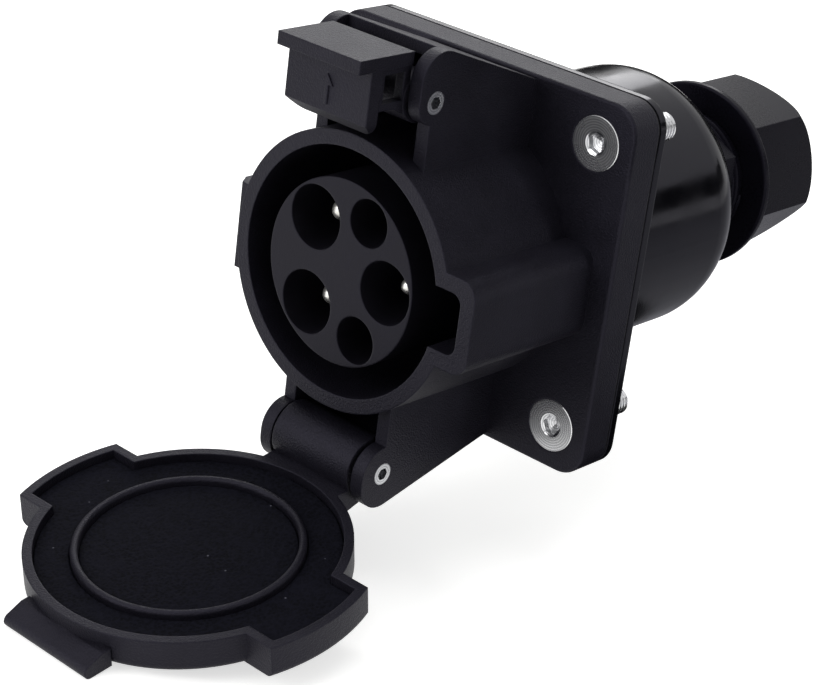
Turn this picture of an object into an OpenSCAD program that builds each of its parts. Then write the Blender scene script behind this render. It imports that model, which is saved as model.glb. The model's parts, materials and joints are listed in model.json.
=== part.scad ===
// Charge port inlet: a five-contact socket on a square flange, with a hinged lid, a sprung latch,
// a round rear housing and a cable gland.
// The panel face of the rear flange lies at Y = 0. The socket's axis is the Y axis and its mouth faces -Y.
// Inside the modules x runs to the side, y runs up and z runs from the panel face to the front.

/* [Flange] */
// Side of the square flange
flange_side = 69; // [68:0.5:80]
// Corner radius of the flange
flange_corner_r = 5.4; // [4:0.2:8]
// Thickness of the front flange
flange_t = 6.6; // [6:0.1:10]
// Rounding of the flange's front edge
flange_edge_r = 0.6; // [0.3:0.1:0.7]
// Thickness of the gasket between the flanges
gasket_t = 0.5; // [0.3:0.1:2]
// How far the gasket's edge lies inside the flange's edge
gasket_inset = 0.2; // [0.2:0.1:1]
// Thickness of the rear housing's flange
rear_flange_t = 1.6; // [1.4:0.1:4]
// Distance between screw centres along each side
screw_pitch = 53; // [52:0.5:58]

/* [Screws and nuts] */
// Radius of a flange screw's shank
screw_r = 2.5; // [2:0.1:3]
// Radius of a flange screw's countersunk head
screw_head_r = 5; // [4.5:0.1:5.5]
// Radial clearance of a flange screw in its hole
screw_gap = 0.25; // [0.1:0.05:0.5]
// Length of a flange screw
screw_len = 20; // [18:0.5:25]
// Width across flats of the hexagon socket in a screw's head
screw_key = 3; // [2.5:0.1:3.2]
// Depth of the hexagon socket in a screw's head
screw_key_depth = 2.2; // [1.5:0.1:2.6]
// Width across flats of a flange nut
nut_flats = 8; // [7.5:0.1:9]
// Thickness of a flange nut
nut_t = 5; // [4:0.1:6]
// Turn of the flange nuts round their screws
nut_turn = 40; // [0:1:59]

/* [Socket] */
// Inner radius of the socket tube
socket_r = 22.2; // [21.8:0.1:24]
// Wall of the socket tube
socket_wall = 2.7; // [2.2:0.1:3.2]
// Length of the tube in front of the flange
socket_len = 31.1; // [29:0.1:36]
// Width of the keyway in the tube's wall
key_w = 11; // [9:0.5:13]
// Depth of the keyway beyond the tube's bore
key_depth = 5; // [4:0.1:6]
// Wall round the keyway
key_wall = 2.9; // [2.5:0.1:3.4]
// Corner radius inside the keyway
key_corner_r = 2; // [1:0.1:3]
// Corner radius outside the keyway
key_bump_r = 3.2; // [2:0.1:4]
// Height of the ledge that the plug's hook grips
ledge_h = 2.4; // [1.5:0.1:3]
// Width of that ledge
ledge_w = 16; // [12:0.5:18]
// Length of that ledge along the tube
ledge_len = 8; // [6:0.5:14]
// How far the ledge starts behind the rim
ledge_setback = 0.8; // [0.5:0.1:3]
// Width of the two ribs that run from the ledge to the flange
ledge_rib_w = 1.4; // [1:0.1:3]

/* [Contact block] */
// Radius of the insulating core
core_r = 16.65; // [16:0.05:17.5]
// How far the core's face lies behind the rim
core_setback = 0.2; // [0:0.1:1]
// Wall left between a well and the core's edge
well_wall = 0.45; // [0.3:0.05:0.8]
// Depth of the core's seat in the base
core_seat = 1.5; // [0.5:0.1:3]
// Radius of the two line wells
line_well_r = 5.75; // [5.4:0.05:6]
// Radius of the earth well
earth_well_r = 5.6; // [5.2:0.05:5.9]
// Radius of the two signal wells
signal_well_r = 4.25; // [3.8:0.05:4.5]
// Direction of the line wells, from the keyway
line_angle = 131; // [128:0.5:134]
// Direction of the signal wells, from the keyway
signal_angle = 64; // [62:0.5:66]
// Thickness of the block's base disc
disc_t = 4.5; // [4:0.1:5.5]
// How far the base disc reaches beyond the tube's bore
disc_step = 3.1; // [2:0.1:4]
// Thickness of the plug that closes the tube's floor
plug_t = 4.6; // [3:0.1:8]
// Radial clearance of the block in the front housing
block_gap = 0.15; // [0.1:0.05:0.3]

/* [Contacts] */
// Radius of the line contacts
line_pin_r = 1.8; // [1.5:0.05:2.2]
// Radius of the earth contact
earth_pin_r = 1.4; // [1.2:0.05:1.8]
// Radius of the signal contacts
signal_pin_r = 0.75; // [0.6:0.05:1]
// How far the contacts' tips lie behind the core's face
tip_setback = 4.8; // [4:0.1:9]
// Extra radius of a contact's shoulder
shoulder_step = 0.6; // [0.4:0.1:1]
// Extra radius of a contact's collar
collar_step = 1.6; // [1.2:0.1:2]
// Thickness of a contact's collar
collar_t = 2.6; // [2:0.1:3]
// Extra radius of a contact's tail
tail_step = 0.9; // [0.7:0.1:1.1]
// Wall of the cup that takes the wire
tail_wall = 0.7; // [0.5:0.05:0.8]
// Length of a contact's tail behind the block
tail_len = 14; // [10:0.5:18]
// Depth of the cup that takes the wire
cup_depth = 8; // [5:0.5:9]
// Radial clearance of the contacts in the block
contact_gap = 0.05; // [0.02:0.01:0.1]

/* [Contact retainer] */
// Radius of the retainer plate
retainer_r = 20; // [19.5:0.1:21]
// Thickness of the retainer plate
retainer_t = 3; // [2:0.1:4]
// Radius of the circle through the retainer's screws
retainer_screw_ring = 16.2; // [15.8:0.1:16.8]
// Radius of a retainer screw's shank
retainer_screw_r = 1.25; // [1:0.05:1.5]
// Radius of a retainer screw's head
retainer_head_r = 2.2; // [1.9:0.1:2.5]
// Height of a retainer screw's head
retainer_head_t = 1.6; // [1:0.1:2]
// Length of a retainer screw's shank in the block
retainer_bite = 5; // [3:0.5:6]

/* [Hinge lugs] */
// Clear width between the two lugs of a hinge
lug_gap = 19.9; // [19.5:0.1:22]
// Thickness of a lug
lug_t = 2.6; // [2.2:0.1:3.2]
// Radius of a lug's nose
nose_r = 5.2; // [4.6:0.1:5.8]
// Height of the lid's pin over the tube's outside
lid_pin_rise = 9.3; // [9:0.1:11]
// How far the lid's pin lies behind the rim
lid_pin_setback = 3.4; // [2.5:0.1:4.5]
// How far the nose of the lid's lugs reaches down past the pin
lid_lug_rise = 1.2; // [0.5:0.1:2.5]
// Height of the latch's pin over the tube's outside
latch_pin_rise = 8.55; // [8.3:0.05:9.5]
// How far the latch's pin lies behind the rim
latch_pin_setback = 4.7; // [4:0.1:5.5]
// How far the nose of the latch's lugs reaches up past the pin
latch_lug_rise = 3.45; // [2.5:0.05:4]
// How far the nose of the latch's lugs lies behind the pin
latch_nose_back = 1.3; // [0.8:0.1:1.6]
// How far the foot of the latch's lugs lies behind the rim
latch_foot_setback = 3.9; // [3:0.1:5]
// Height of a lug over the tube's outside, where it meets the flange
lug_heel = 8.8; // [7:0.1:8.8]
// Thickness of the sloping plate that joins two lugs
roof_t = 2.4; // [2:0.1:3]
// Radius of the hinge pins
hinge_pin_r = 2; // [1.6:0.1:2.4]
// Width across flats of the hexagon socket in a hinge pin
hinge_key = 2; // [1.5:0.1:2.2]
// Depth of the hexagon socket in a hinge pin
hinge_key_depth = 2; // [1:0.1:3]
// Radial clearance of a part that turns on a hinge pin
running_gap = 0.06; // [0.03:0.01:0.1]
// Radial clearance of a hinge pin in its lugs
seat_gap = 0.02; // [0.01:0.01:0.05]
// Side clearance between a lug and the part that turns
side_gap = 0.7; // [0.4:0.1:1]

/* [Lid] */
// Angle of the open lid from its shut place
lid_open = 100; // [90:1:110]
// Clearance between the tube and the lid's wall
lid_gap = 1.3; // [0.9:0.1:1.6]
// Wall of the lid
lid_wall = 1.7; // [1.4:0.1:2]
// Clearance between the key bump and the lid's ear
ear_gap = 0.9; // [0.7:0.1:1.2]
// How far the shut lid's wall laps over the tube
lid_lap = 1.2; // [0.8:0.1:1.4]
// Thickness of the foam seals
seal_t = 2.1; // [1.6:0.1:2.6]
// Gap between the foam and the tube's rim when shut
seal_gap = 0.3; // [0.2:0.1:0.5]
// Edge clearance of the foam in the lid
foam_edge = 0.1; // [0.05:0.05:0.3]
// Thickness of the lid's face
lid_face_t = 2.4; // [2:0.1:2.6]
// Rounding of the lid's outer edge
lid_edge_r = 1.2; // [0.6:0.1:1.6]
// Middle radius of the raised ring
ring_r = 19.3; // [19:0.1:19.6]
// Width of the raised ring
ring_w = 1.4; // [1.2:0.1:1.8]
// Height of the raised ring over the foam
ring_h = 1.3; // [0.8:0.1:1.6]
// Width of the lid's lip
lip_w = 20.4; // [16:0.2:22]
// How far the lip stands out from the lid's wall
lip_reach = 3.9; // [3.5:0.1:4.2]
// Thickness of the lip at its root
lip_root_t = 3.4; // [2.8:0.1:3.6]
// Radius of the lid's hinge barrel
barrel_r = 5.6; // [5.2:0.1:6]
// Place of the small stops round the barrel, from the lid's face
stop_angle = 40; // [30:1:60]
// Radius of the small stops on the barrel's ends
stop_r = 1.1; // [0.8:0.1:1.4]
// Length of those stops
stop_len = 1.6; // [1:0.1:2.5]

/* [Latch] */
// Width of the latch
latch_w = 18.6; // [16:0.1:18.7]
// Angle through which the latch lifts
latch_lift = 26; // [25:0.5:28]
// Gap between the shut lid's face and the latch's front plate
catch_gap = 0.6; // [0.4:0.1:0.8]
// How far the latch's hook reaches below the lip's tip
catch_depth = 3.7; // [3.4:0.1:4]
// Thickness of the latch's front plate
latch_front_t = 2.6; // [2.2:0.1:2.8]
// Rise of the hook's slanted lower edge
hook_slant = 2.1; // [1.6:0.1:2.4]
// Height of the latch's top over its pin
latch_rise = 8.25; // [7.9:0.05:8.6]
// Thickness of the latch's top plate
latch_top_t = 2.3; // [2:0.1:2.6]
// How far the top plate stands out over the front plate
thumb_reach = 3; // [2:0.1:4]
// How far the top plate's back edge lies in front of the pin
top_setback = 2.9; // [2.5:0.1:3.4]
// Corner radius of the latch's front plate
latch_corner_r = 2.6; // [1.5:0.1:3]
// Thickness of the latch's side webs
web_t = 1.8; // [1.4:0.1:2.2]
// How far the side webs lie inside the latch's ends
web_inset = 0.3; // [0.1:0.1:1]
// Width of the frame round a side web's window
web_frame = 2; // [1.6:0.1:2.2]
// Radius of the latch's hub
hub_r = 4.4; // [4:0.1:4.6]
// Clear space between moving pieces
moving_gap = 0.5; // [0.4:0.1:0.6]

/* [Latch spring] */
// Radius of the spring's wire
wire_r = 0.45; // [0.35:0.05:0.5]
// Radius of the coil at the middle of the wire
coil_r = 3.1; // [2.9:0.05:3.3]
// Number of whole turns in the coil
coil_turns = 5; // [3:1:6]
// Width of the coil along the pin
coil_w = 6.4; // [5.8:0.1:8]
// How far behind the pin the rear leg meets the tube
leg_len = 13; // [9:0.5:16]
// Gap between a spring leg and its seat
leg_gap = 0.15; // [0.1:0.05:0.3]

/* [Rear housing] */
// Outer radius of the rear housing
rear_r = 25.4; // [25:0.1:28]
// Wall of the rear housing
rear_wall = 2.4; // [2:0.1:2.8]
// Length of the rear housing behind the panel face
rear_len = 48.4; // [46:0.2:65]
// Rounding of the rear housing's end
rear_end_r = 11.5; // [6:0.5:12]
// Thickness of the rear housing's end
rear_end_t = 5.5; // [5:0.1:7]
// Rounding inside the rear housing's end
rear_inner_r = 4; // [3:0.5:5]
// Rounding where the rear housing meets its flange
rear_root_r = 1.5; // [0.5:0.1:2]

/* [Cable gland] */
// Radius of the gland's shank thread
gland_shank_r = 12.5; // [11.5:0.1:13]
// Radial clearance of the shank in the rear housing
gland_gap = 0.2; // [0.1:0.05:0.3]
// Width across flats of the gland's hexagon base
gland_base_flats = 29; // [28:0.2:33]
// Turn of the hexagon base round its axis
gland_base_turn = 33; // [0:1:59]
// Thickness of the hexagon base
gland_base_t = 6; // [5:0.1:8]
// Radius of the gland's neck
neck_r = 13.2; // [12.6:0.1:13.6]
// Length of the gland's neck behind the base
neck_len = 18; // [16:0.5:20]
// Inner radius of the gland's body
gland_bore_r = 10.6; // [10.2:0.1:11]
// Number of slots between the neck's clamping fingers
finger_slots = 8; // [6:1:12]
// Length of those slots
slot_len = 7; // [5:0.5:9]
// Width of those slots
slot_w = 1.2; // [0.8:0.1:1.6]
// Radius of the cable passage through the rubber sleeve
cable_r = 8; // [6.5:0.1:8.5]
// Length of the rubber sleeve
sleeve_len = 18; // [14:0.5:22]
// Radial clearance of the sleeve and of the gland's threads
thread_gap = 0.1; // [0.05:0.05:0.2]
// Width across flats of the cap nut
cap_flats = 30.4; // [30:0.2:34]
// Turn of the cap nut round its axis
cap_turn = 47; // [0:1:59]
// Radius of the cap nut's collar
cap_r = 18.7; // [18.3:0.1:20]
// Length of the cap nut's collar
cap_collar_t = 1.5; // [1.3:0.1:4]
// Rounding of the collar's front edge
cap_edge_r = 0.5; // [0.3:0.1:1.2]
// Length of the cap nut
cap_len = 24.9; // [24:0.1:32]
// Rounding of the cap nut's end
cap_end_r = 10.5; // [6:0.5:12]
// Wall at the cap nut's end
cap_end_t = 3.5; // [2.5:0.1:5]
// How much wider the cap nut's mouth is than the cable
cap_mouth_step = 1.2; // [0.8:0.1:2]
// Gap between the gland's base and the cap nut
cap_stand_off = 5.7; // [4:0.1:7]
// Radius of the gland's O-ring section
o_ring_r = 0.8; // [0.6:0.05:1]
// Thickness of the lock nut
lock_nut_t = 5; // [4:0.1:6]
// Width across flats of the lock nut
lock_nut_flats = 32; // [30:0.2:33]

/* [Hidden] */

$fn = 96;
// Overlap that lets joined shapes fuse, and overshoot of a cut
fuse = 0.5;
past = 1;

// Places along the socket's axis, from the panel face to the front
flange_back = rear_flange_t + gasket_t;
flange_front = flange_back + flange_t;
rim = flange_front + socket_len;
disc_front = flange_back + disc_t;
socket_floor = disc_front + plug_t;
core_face = rim - core_setback;
well_floor = socket_floor - core_seat;
tip = core_face - tip_setback;
collar_front = flange_back + collar_t;
tail_end = flange_back - tail_len;
retainer_back = flange_back - retainer_t;
lid_pin_z = rim - lid_pin_setback;
latch_pin_z = rim - latch_pin_setback;

// Radii of the socket, its key bump and the block's disc
tube_r = socket_r + socket_wall;
key_top = socket_r + key_depth;
key_half = key_w / 2;
bump_top = key_top + key_wall;
bump_half = key_half + key_wall;
bump_reach = norm([bump_top - key_bump_r, bump_half - key_bump_r]) + key_bump_r;
disc_r = socket_r + disc_step - block_gap;
lid_pin_y = tube_r + lid_pin_rise;
latch_pin_y = tube_r + latch_pin_rise;
lug_outer = lug_gap + 2 * lug_t;
lid_nose = [lid_pin_z, lid_pin_y + lid_lug_rise];
latch_nose = [latch_pin_z - latch_nose_back, latch_pin_y + latch_lug_rise];
turn_w = lug_gap - 2 * side_gap;

// Lid, in its shut place
lid_back = rim - lid_lap;
foam_face = rim + seal_gap;
foam_back = foam_face + seal_t;
lid_front = foam_back + lid_face_t;
lid_cavity_r = tube_r + lid_gap;
lid_r = lid_cavity_r + lid_wall;
ear_r = bump_reach + ear_gap + lid_wall;
ear_half = bump_half + ear_gap + lid_wall;
lip_tip = lid_r + lip_reach;

// Latch, in its shut place
catch_back = lid_front + catch_gap;
latch_front = catch_back + latch_front_t;
hook_low = lip_tip - catch_depth;
latch_top = latch_pin_y + latch_rise;
latch_under = latch_top - latch_top_t;
top_back = latch_pin_z + top_setback;
web_x = latch_w / 2 - web_t / 2 - web_inset;
hub_len = (turn_w - coil_w) / 2 - moving_gap;
top_corner = [top_setback, latch_rise];
top_swing = atan2(top_corner.y, top_corner.x) + latch_lift;
roof_setback = -norm(top_corner) * cos(top_swing) + moving_gap;
shelf_under = lip_tip + web_frame;

// Rear housing and gland, from the panel face to the back
rear_end = -rear_len;
base_front = rear_end - 2 * o_ring_r;
base_back = base_front - gland_base_t;
neck_end = base_back - neck_len;
cap_front = base_back - cap_stand_off;
cap_back = cap_front - cap_len;
sleeve_r = gland_bore_r - thread_gap;
sleeve_back = cap_back + cap_end_t;

// Where the five contacts stand, each from its well
function contact_at(angle, well_r) =
    (core_r - well_wall - well_r) * [cos(angle), sin(angle)];
line_1_at = contact_at(line_angle, line_well_r);
line_2_at = contact_at(-line_angle, line_well_r);
earth_at = contact_at(0, earth_well_r);
pilot_at = contact_at(signal_angle, signal_well_r);
proximity_at = contact_at(-signal_angle, signal_well_r);
// Place, contact radius and well radius of each contact
contacts = [
    [line_1_at, line_pin_r, line_well_r],
    [line_2_at, line_pin_r, line_well_r],
    [earth_at, earth_pin_r, earth_well_r],
    [pilot_at, signal_pin_r, signal_well_r],
    [proximity_at, signal_pin_r, signal_well_r]
];
retainer_screw_angles = [180, 32, -32];
flange_screw_signs = [[1, 1], [-1, 1], [-1, -1], [1, -1]];

// Colours
black = "#1d1d20";
gloss_black = "#111114";
rubber_black = "#18181a";
foam_black = "#151516";
steel = "#c4c6c9";
silver = "#d8d9da";

// Point where a line from p touches a circle, on the side that the sign gives
function touch(p, centre, r, side) =
    let (d = centre - p, along = atan2(d.y, d.x) + side * asin(r / norm(d)))
    p + sqrt(d * d - r * r) * [cos(along), sin(along)];

// Turns the modules' own axes into the part's: y up, z to the front
module in_frame() rotate([90, 0, 0]) children();

// Extrudes a side profile drawn in (z, y) across the part, centred on x
module across(width, x = 0) {
    translate([x, 0, 0]) rotate([0, -90, 0]) linear_extrude(width, center = true) children();
}

// Round bar along x
module cross_bar(r, len, y, z, x = 0) {
    translate([x, y, z]) rotate([0, 90, 0]) cylinder(r = r, h = len, center = true);
}

module cylinder_between(r, from_z, to_z) {
    translate([0, 0, min(from_z, to_z)]) cylinder(r = r, h = abs(to_z - from_z));
}

module hexagon(flats) {
    circle(r = flats / sqrt(3), $fn = 6);
}

module at_flange_screws() {
    for (s = flange_screw_signs) translate([s.x * screw_pitch / 2, s.y * screw_pitch / 2, 0]) children();
}

module round_rect(w, h, r) {
    square([w - 2 * r, h], center = true);
    square([w, h - 2 * r], center = true);
    for (sx = [-1, 1], sy = [-1, 1]) translate([sx * (w / 2 - r), sy * (h / 2 - r)]) circle(r);
}

// Half section of a disc or plate with its outer top edge rounded
module soft_section(reach, h, edge) {
    square([reach - edge, h]);
    square([reach, h - edge]);
    translate([reach - edge, h - edge]) intersection() {
        circle(edge, $fn = 48);
        square(edge);
    }
}

module soft_disc(r, h, edge) rotate_extrude() soft_section(r, h, edge);

// Square plate with its front edge rounded
module soft_plate(side, corner, t, edge) {
    straight = side - 2 * corner;
    for (a = [0:90:270]) rotate(a) {
        rotate([90, 0, 0]) linear_extrude(straight, center = true) soft_section(side / 2, t, edge);
        translate([straight / 2, straight / 2, 0]) soft_disc(corner, t, edge);
    }
}

// Slope of a lug's back edge, from its heel on the flange to its nose, and the height of that edge
lug_root = flange_front - fuse;
lug_heel_at = [flange_front, tube_r + lug_heel];
function nose_touch(nose) = touch(lug_heel_at, nose, nose_r, 1);
function roof_y(nose, z) =
    let (run = nose_touch(nose) - lug_heel_at)
    lug_heel_at.y + run.y / run.x * (z - lug_heel_at.x);

// Upright face of a hinge lug, drawn in (z, y)
module lug_face(pin, nose, foot) {
    front = nose.x + nose_r;
    low = socket_r - socket_wall;
    translate(pin) circle(front - pin.x);
    translate(nose) circle(nose_r);
    polygon([
        [lug_root, low], [lug_root, roof_y(nose, lug_root)], nose_touch(nose), nose,
        [front, nose.y], [front, pin.y], pin, [foot, pin.y], [foot, low]
    ]);
}

// A pair of lugs with the sloping plate that joins them: one block, cut out under and before the plate
module lug_pair(pin, nose, foot, plate_front) {
    low = socket_r - socket_wall - past;
    high = nose.y + nose_r + past;
    back = lug_root - past;
    difference() {
        across(lug_outer) lug_face(pin, nose, foot);
        across(lug_gap) polygon([
            [back, low], [back, roof_y(nose, back) - roof_t],
            [plate_front, roof_y(nose, plate_front) - roof_t], [plate_front, high],
            [rim + nose_r, high], [rim + nose_r, low]
        ]);
    }
}

// Ledge with a slanted lead-in, for the hook of the plug
module plug_ledge() {
    front = rim - ledge_setback;
    top = tube_r + ledge_h;
    root = tube_r - socket_wall / 2;
    rotate([90, 0, 0]) linear_extrude(ledge_w, center = true) polygon([
        [-root, front], [-tube_r - ledge_h / 3, front], [-top, front - ledge_h], [-top, front - ledge_len],
        [-root, front - ledge_len]
    ]);
    rib_front = front - ledge_len / 2;
    for (sy = [-1, 1])
        translate([-root - ledge_h / 2, sy * (ledge_w - ledge_rib_w) / 2, (rib_front + flange_front) / 2])
            cube([ledge_h * 2, ledge_rib_w, rib_front - flange_front + fuse], center = true);
}

module key_outline(top, half, corner) {
    translate([top / 2, 0]) round_rect(top, 2 * half, corner);
}

module front_housing() color(black) in_frame() difference() {
    union() {
        translate([0, 0, flange_back]) soft_plate(flange_side, flange_corner_r, flange_t, flange_edge_r);
        cylinder_between(tube_r, flange_back, rim);
        translate([0, 0, flange_back])
            linear_extrude(rim - flange_back) key_outline(bump_top, bump_half, key_bump_r);
        plug_ledge();
        lug_pair(
            [latch_pin_z, latch_pin_y], latch_nose, rim - latch_foot_setback, latch_pin_z - roof_setback
        );
        mirror([0, 1, 0])
            lug_pair([lid_pin_z, lid_pin_y], lid_nose, lid_pin_z, lid_pin_z - barrel_r - side_gap);
    }
    cylinder_between(socket_r, 0, rim + past);
    translate([0, 0, socket_floor]) linear_extrude(rim) key_outline(key_top, key_half, key_corner_r);
    cylinder_between(disc_r + block_gap, 0, disc_front);
    at_flange_screws() {
        cylinder_between(screw_r + screw_gap, 0, flange_front + past);
        translate([0, 0, flange_front - screw_head_r])
            cylinder(r1 = 0, r2 = screw_head_r + screw_gap + past, h = screw_head_r + screw_gap + past);
    }
    cross_bar(hinge_pin_r + seat_gap, lug_outer + past, latch_pin_y, latch_pin_z);
    cross_bar(hinge_pin_r + seat_gap, lug_outer + past, -lid_pin_y, lid_pin_z);
}

module contact_block() color(gloss_black) in_frame() difference() {
    union() {
        cylinder_between(disc_r, flange_back, disc_front);
        cylinder_between(socket_r - block_gap, flange_back, socket_floor);
    }
    cylinder_between(core_r + contact_gap, well_floor, socket_floor + past);
    for (c = contacts) translate([c[0].x, c[0].y, 0]) {
        cylinder_between(c[1] + shoulder_step + contact_gap, 0, well_floor + past);
        cylinder_between(c[1] + collar_step + contact_gap, 0, collar_front);
    }
    for (a = retainer_screw_angles) rotate(a)
        translate([retainer_screw_ring, 0, 0])
            cylinder_between(retainer_screw_r + contact_gap, 0, flange_back + retainer_bite);
}

// Insulating core, seated in the block, with the five wells right through it
module contact_core() color(gloss_black) in_frame() difference() {
    cylinder_between(core_r, well_floor, core_face);
    for (c = contacts) translate([c[0].x, c[0].y, 0]) cylinder_between(c[2], 0, core_face + past);
}

// Turned contact: bullet tip, shoulder in the block, collar against the retainer and a cup for the wire
module contact_pin(at, r) {
    in_frame() translate([at.x, at.y, 0]) difference() {
        union() {
            translate([0, 0, collar_front]) rotate_extrude() {
                square([r, tip - r - collar_front]);
                translate([0, tip - r - collar_front]) intersection() {
                    circle(r, $fn = 48);
                    square(r);
                }
            }
            cylinder_between(r + shoulder_step, flange_back, well_floor);
            cylinder_between(r + collar_step, flange_back, collar_front);
            cylinder_between(r + tail_step, tail_end, flange_back + collar_t / 2);
        }
        cylinder_between(r + tail_step - tail_wall, tail_end - past, tail_end + cup_depth);
    }
}

module line_1_pin() color(silver) contact_pin(line_1_at, line_pin_r);
module line_2_pin() color(silver) contact_pin(line_2_at, line_pin_r);
module earth_pin() color(silver) contact_pin(earth_at, earth_pin_r);
module pilot_pin() color(silver) contact_pin(pilot_at, signal_pin_r);
module proximity_pin() color(silver) contact_pin(proximity_at, signal_pin_r);

module contact_retainer() color(black) in_frame() difference() {
    cylinder_between(retainer_r, retainer_back, flange_back);
    for (c = contacts) translate([c[0].x, c[0].y, 0])
        cylinder_between(c[1] + tail_step + contact_gap, tail_end, flange_back + past);
    for (a = retainer_screw_angles) rotate(a)
        translate([retainer_screw_ring, 0, 0])
            cylinder_between(retainer_screw_r + contact_gap, tail_end, flange_back + past);
}

module retainer_screws() color(steel) in_frame()
    for (a = retainer_screw_angles) rotate(a) translate([retainer_screw_ring, 0, 0]) difference() {
        union() {
            cylinder_between(retainer_screw_r, retainer_back - fuse, flange_back + retainer_bite);
            cylinder_between(retainer_head_r, retainer_back - retainer_head_t, retainer_back);
        }
        translate([0, 0, retainer_back - retainer_head_t - past])
            linear_extrude(past + retainer_head_t / 2) {
                square([2 * retainer_screw_r, retainer_screw_r / 2], center = true);
                square([retainer_screw_r / 2, 2 * retainer_screw_r], center = true);
            }
    }

module flange_gasket() color(rubber_black) in_frame() difference() {
    side = flange_side - 2 * gasket_inset;
    translate([0, 0, rear_flange_t]) linear_extrude(gasket_t)
        round_rect(side, side, flange_corner_r - gasket_inset);
    cylinder_between(rear_r - rear_wall, 0, flange_back + past);
    at_flange_screws() cylinder_between(screw_r + screw_gap, 0, flange_back + past);
}

module rear_housing() color(gloss_black) in_frame() difference() {
    union() {
        linear_extrude(rear_flange_t) round_rect(flange_side, flange_side, flange_corner_r);
        mirror([0, 0, 1]) soft_disc(rear_r, rear_len, rear_end_r);
        rotate_extrude() difference() {
            translate([rear_r - fuse, -rear_root_r]) square([rear_root_r + fuse, rear_root_r + fuse]);
            translate([rear_r + rear_root_r, -rear_root_r]) circle(rear_root_r, $fn = 32);
        }
    }
    mirror([0, 0, 1]) soft_disc(rear_r - rear_wall, rear_len - rear_end_t, rear_inner_r);
    cylinder_between(rear_r - rear_wall, -fuse, rear_flange_t + past);
    cylinder_between(gland_shank_r + gland_gap, rear_end - past, rear_end + rear_end_r);
    at_flange_screws() cylinder_between(screw_r + screw_gap, -past, rear_flange_t + past);
}

module flange_screws() color(steel) in_frame() at_flange_screws() difference() {
    union() {
        cylinder_between(screw_r, flange_front - screw_len, flange_front - screw_r);
        translate([0, 0, flange_front - screw_head_r])
            intersection() {
                cylinder(r1 = 0, r2 = screw_head_r, h = screw_head_r);
                cylinder_between(screw_head_r, screw_r / 2, screw_head_r);
            }
    }
    translate([0, 0, flange_front - screw_key_depth])
        linear_extrude(screw_key_depth + past) hexagon(screw_key);
}

module flange_nuts() color(steel) in_frame() at_flange_screws() difference() {
    intersection() {
        translate([0, 0, -nut_t]) linear_extrude(nut_t) rotate(nut_turn) hexagon(nut_flats);
        translate([0, 0, -nut_t - nut_flats / 2])
            cylinder(r1 = 0, r2 = 2 * nut_flats, h = 2 * nut_flats);
    }
    cylinder_between(screw_r + seat_gap, -nut_t - past, past);
}

// Everything that turns with the lid is drawn shut and then swung open on the lower pin
module swung_open() {
    translate([0, -lid_pin_y, lid_pin_z]) rotate([lid_open, 0, 0])
        translate([0, lid_pin_y, -lid_pin_z]) children();
}

// Round outline with two flat-sided ears, filled by the given discs
module eared(ear_side) {
    children(0);
    intersection() {
        children(1);
        translate([-ear_r - past, -ear_side, -past])
            cube([2 * (ear_r + past), 2 * ear_side, lid_front + 2 * past]);
    }
}

module lid_lip() {
    root = [lid_front - lip_root_t, lid_r];
    nose = [lid_front - lid_edge_r, lip_tip - lid_edge_r];
    across(lip_w) {
        polygon([
            [root.x, lid_r - lid_wall], root, touch(root, nose, lid_edge_r, 1), nose,
            [lid_front, nose.y], [lid_front, lid_r - lid_wall]
        ]);
        translate(nose) circle(lid_edge_r);
    }
}

module lid_hinge() {
    corner = [lid_front - lid_edge_r, -lid_r + lid_wall];
    pin = [lid_pin_z, -lid_pin_y];
    heel = touch(corner, pin, barrel_r, 1);
    cross_bar(barrel_r, turn_w, pin.y, pin.x);
    across(turn_w) polygon([corner, heel, pin, [lid_back, pin.y], [lid_back, -lid_r + lid_wall]]);
    for (sx = [-1, 1]) cross_bar(
        stop_r, stop_len, pin.y + barrel_r * sin(stop_angle), pin.x + barrel_r * cos(stop_angle),
        sx * (turn_w - stop_len) / 2
    );
}

module lid() color(black) in_frame() swung_open() difference() {
    union() {
        difference() {
            translate([0, 0, lid_back]) eared(ear_half) {
                soft_disc(lid_r, lid_front - lid_back, lid_edge_r);
                soft_disc(ear_r, lid_front - lid_back, lid_edge_r);
            }
            eared(ear_half - lid_wall) {
                cylinder_between(lid_cavity_r, lid_back - past, foam_back);
                cylinder_between(ear_r - lid_wall, lid_back - past, foam_back);
            }
        }
        rotate_extrude() {
            translate([ring_r, foam_face - ring_h + ring_w / 2]) circle(ring_w / 2, $fn = 32);
            translate([ring_r - ring_w / 2, foam_face - ring_h + ring_w / 2])
                square([ring_w, ring_h + seal_t + fuse - ring_w / 2]);
        }
        lid_lip();
        lid_hinge();
    }
    cross_bar(hinge_pin_r + running_gap, lug_outer, -lid_pin_y, lid_pin_z);
}

module lid_seal_ring() color(foam_black) in_frame() swung_open() difference() {
    eared(ear_half - lid_wall - foam_edge) {
        cylinder_between(lid_cavity_r - foam_edge, foam_face, foam_back);
        cylinder_between(ear_r - lid_wall - foam_edge, foam_face, foam_back);
    }
    cylinder_between(ring_r + ring_w / 2 + foam_edge, lid_back, lid_front);
}

module lid_seal_disc() color(foam_black) in_frame() swung_open()
    cylinder_between(ring_r - ring_w / 2 - foam_edge, foam_face, foam_back);

// Steel pin across a pair of lugs, with a hexagon socket at its right end
module hinge_pin(y, z) {
    in_frame() difference() {
        cross_bar(hinge_pin_r, lug_outer, y, z);
        translate([lug_outer / 2 - hinge_key_depth, y, z]) rotate([0, 90, 0])
            linear_extrude(hinge_key_depth + past) hexagon(hinge_key);
    }
}

module lid_hinge_pin() color(steel) hinge_pin(-lid_pin_y, lid_pin_z);
module latch_hinge_pin() color(steel) hinge_pin(latch_pin_y, latch_pin_z);

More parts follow.
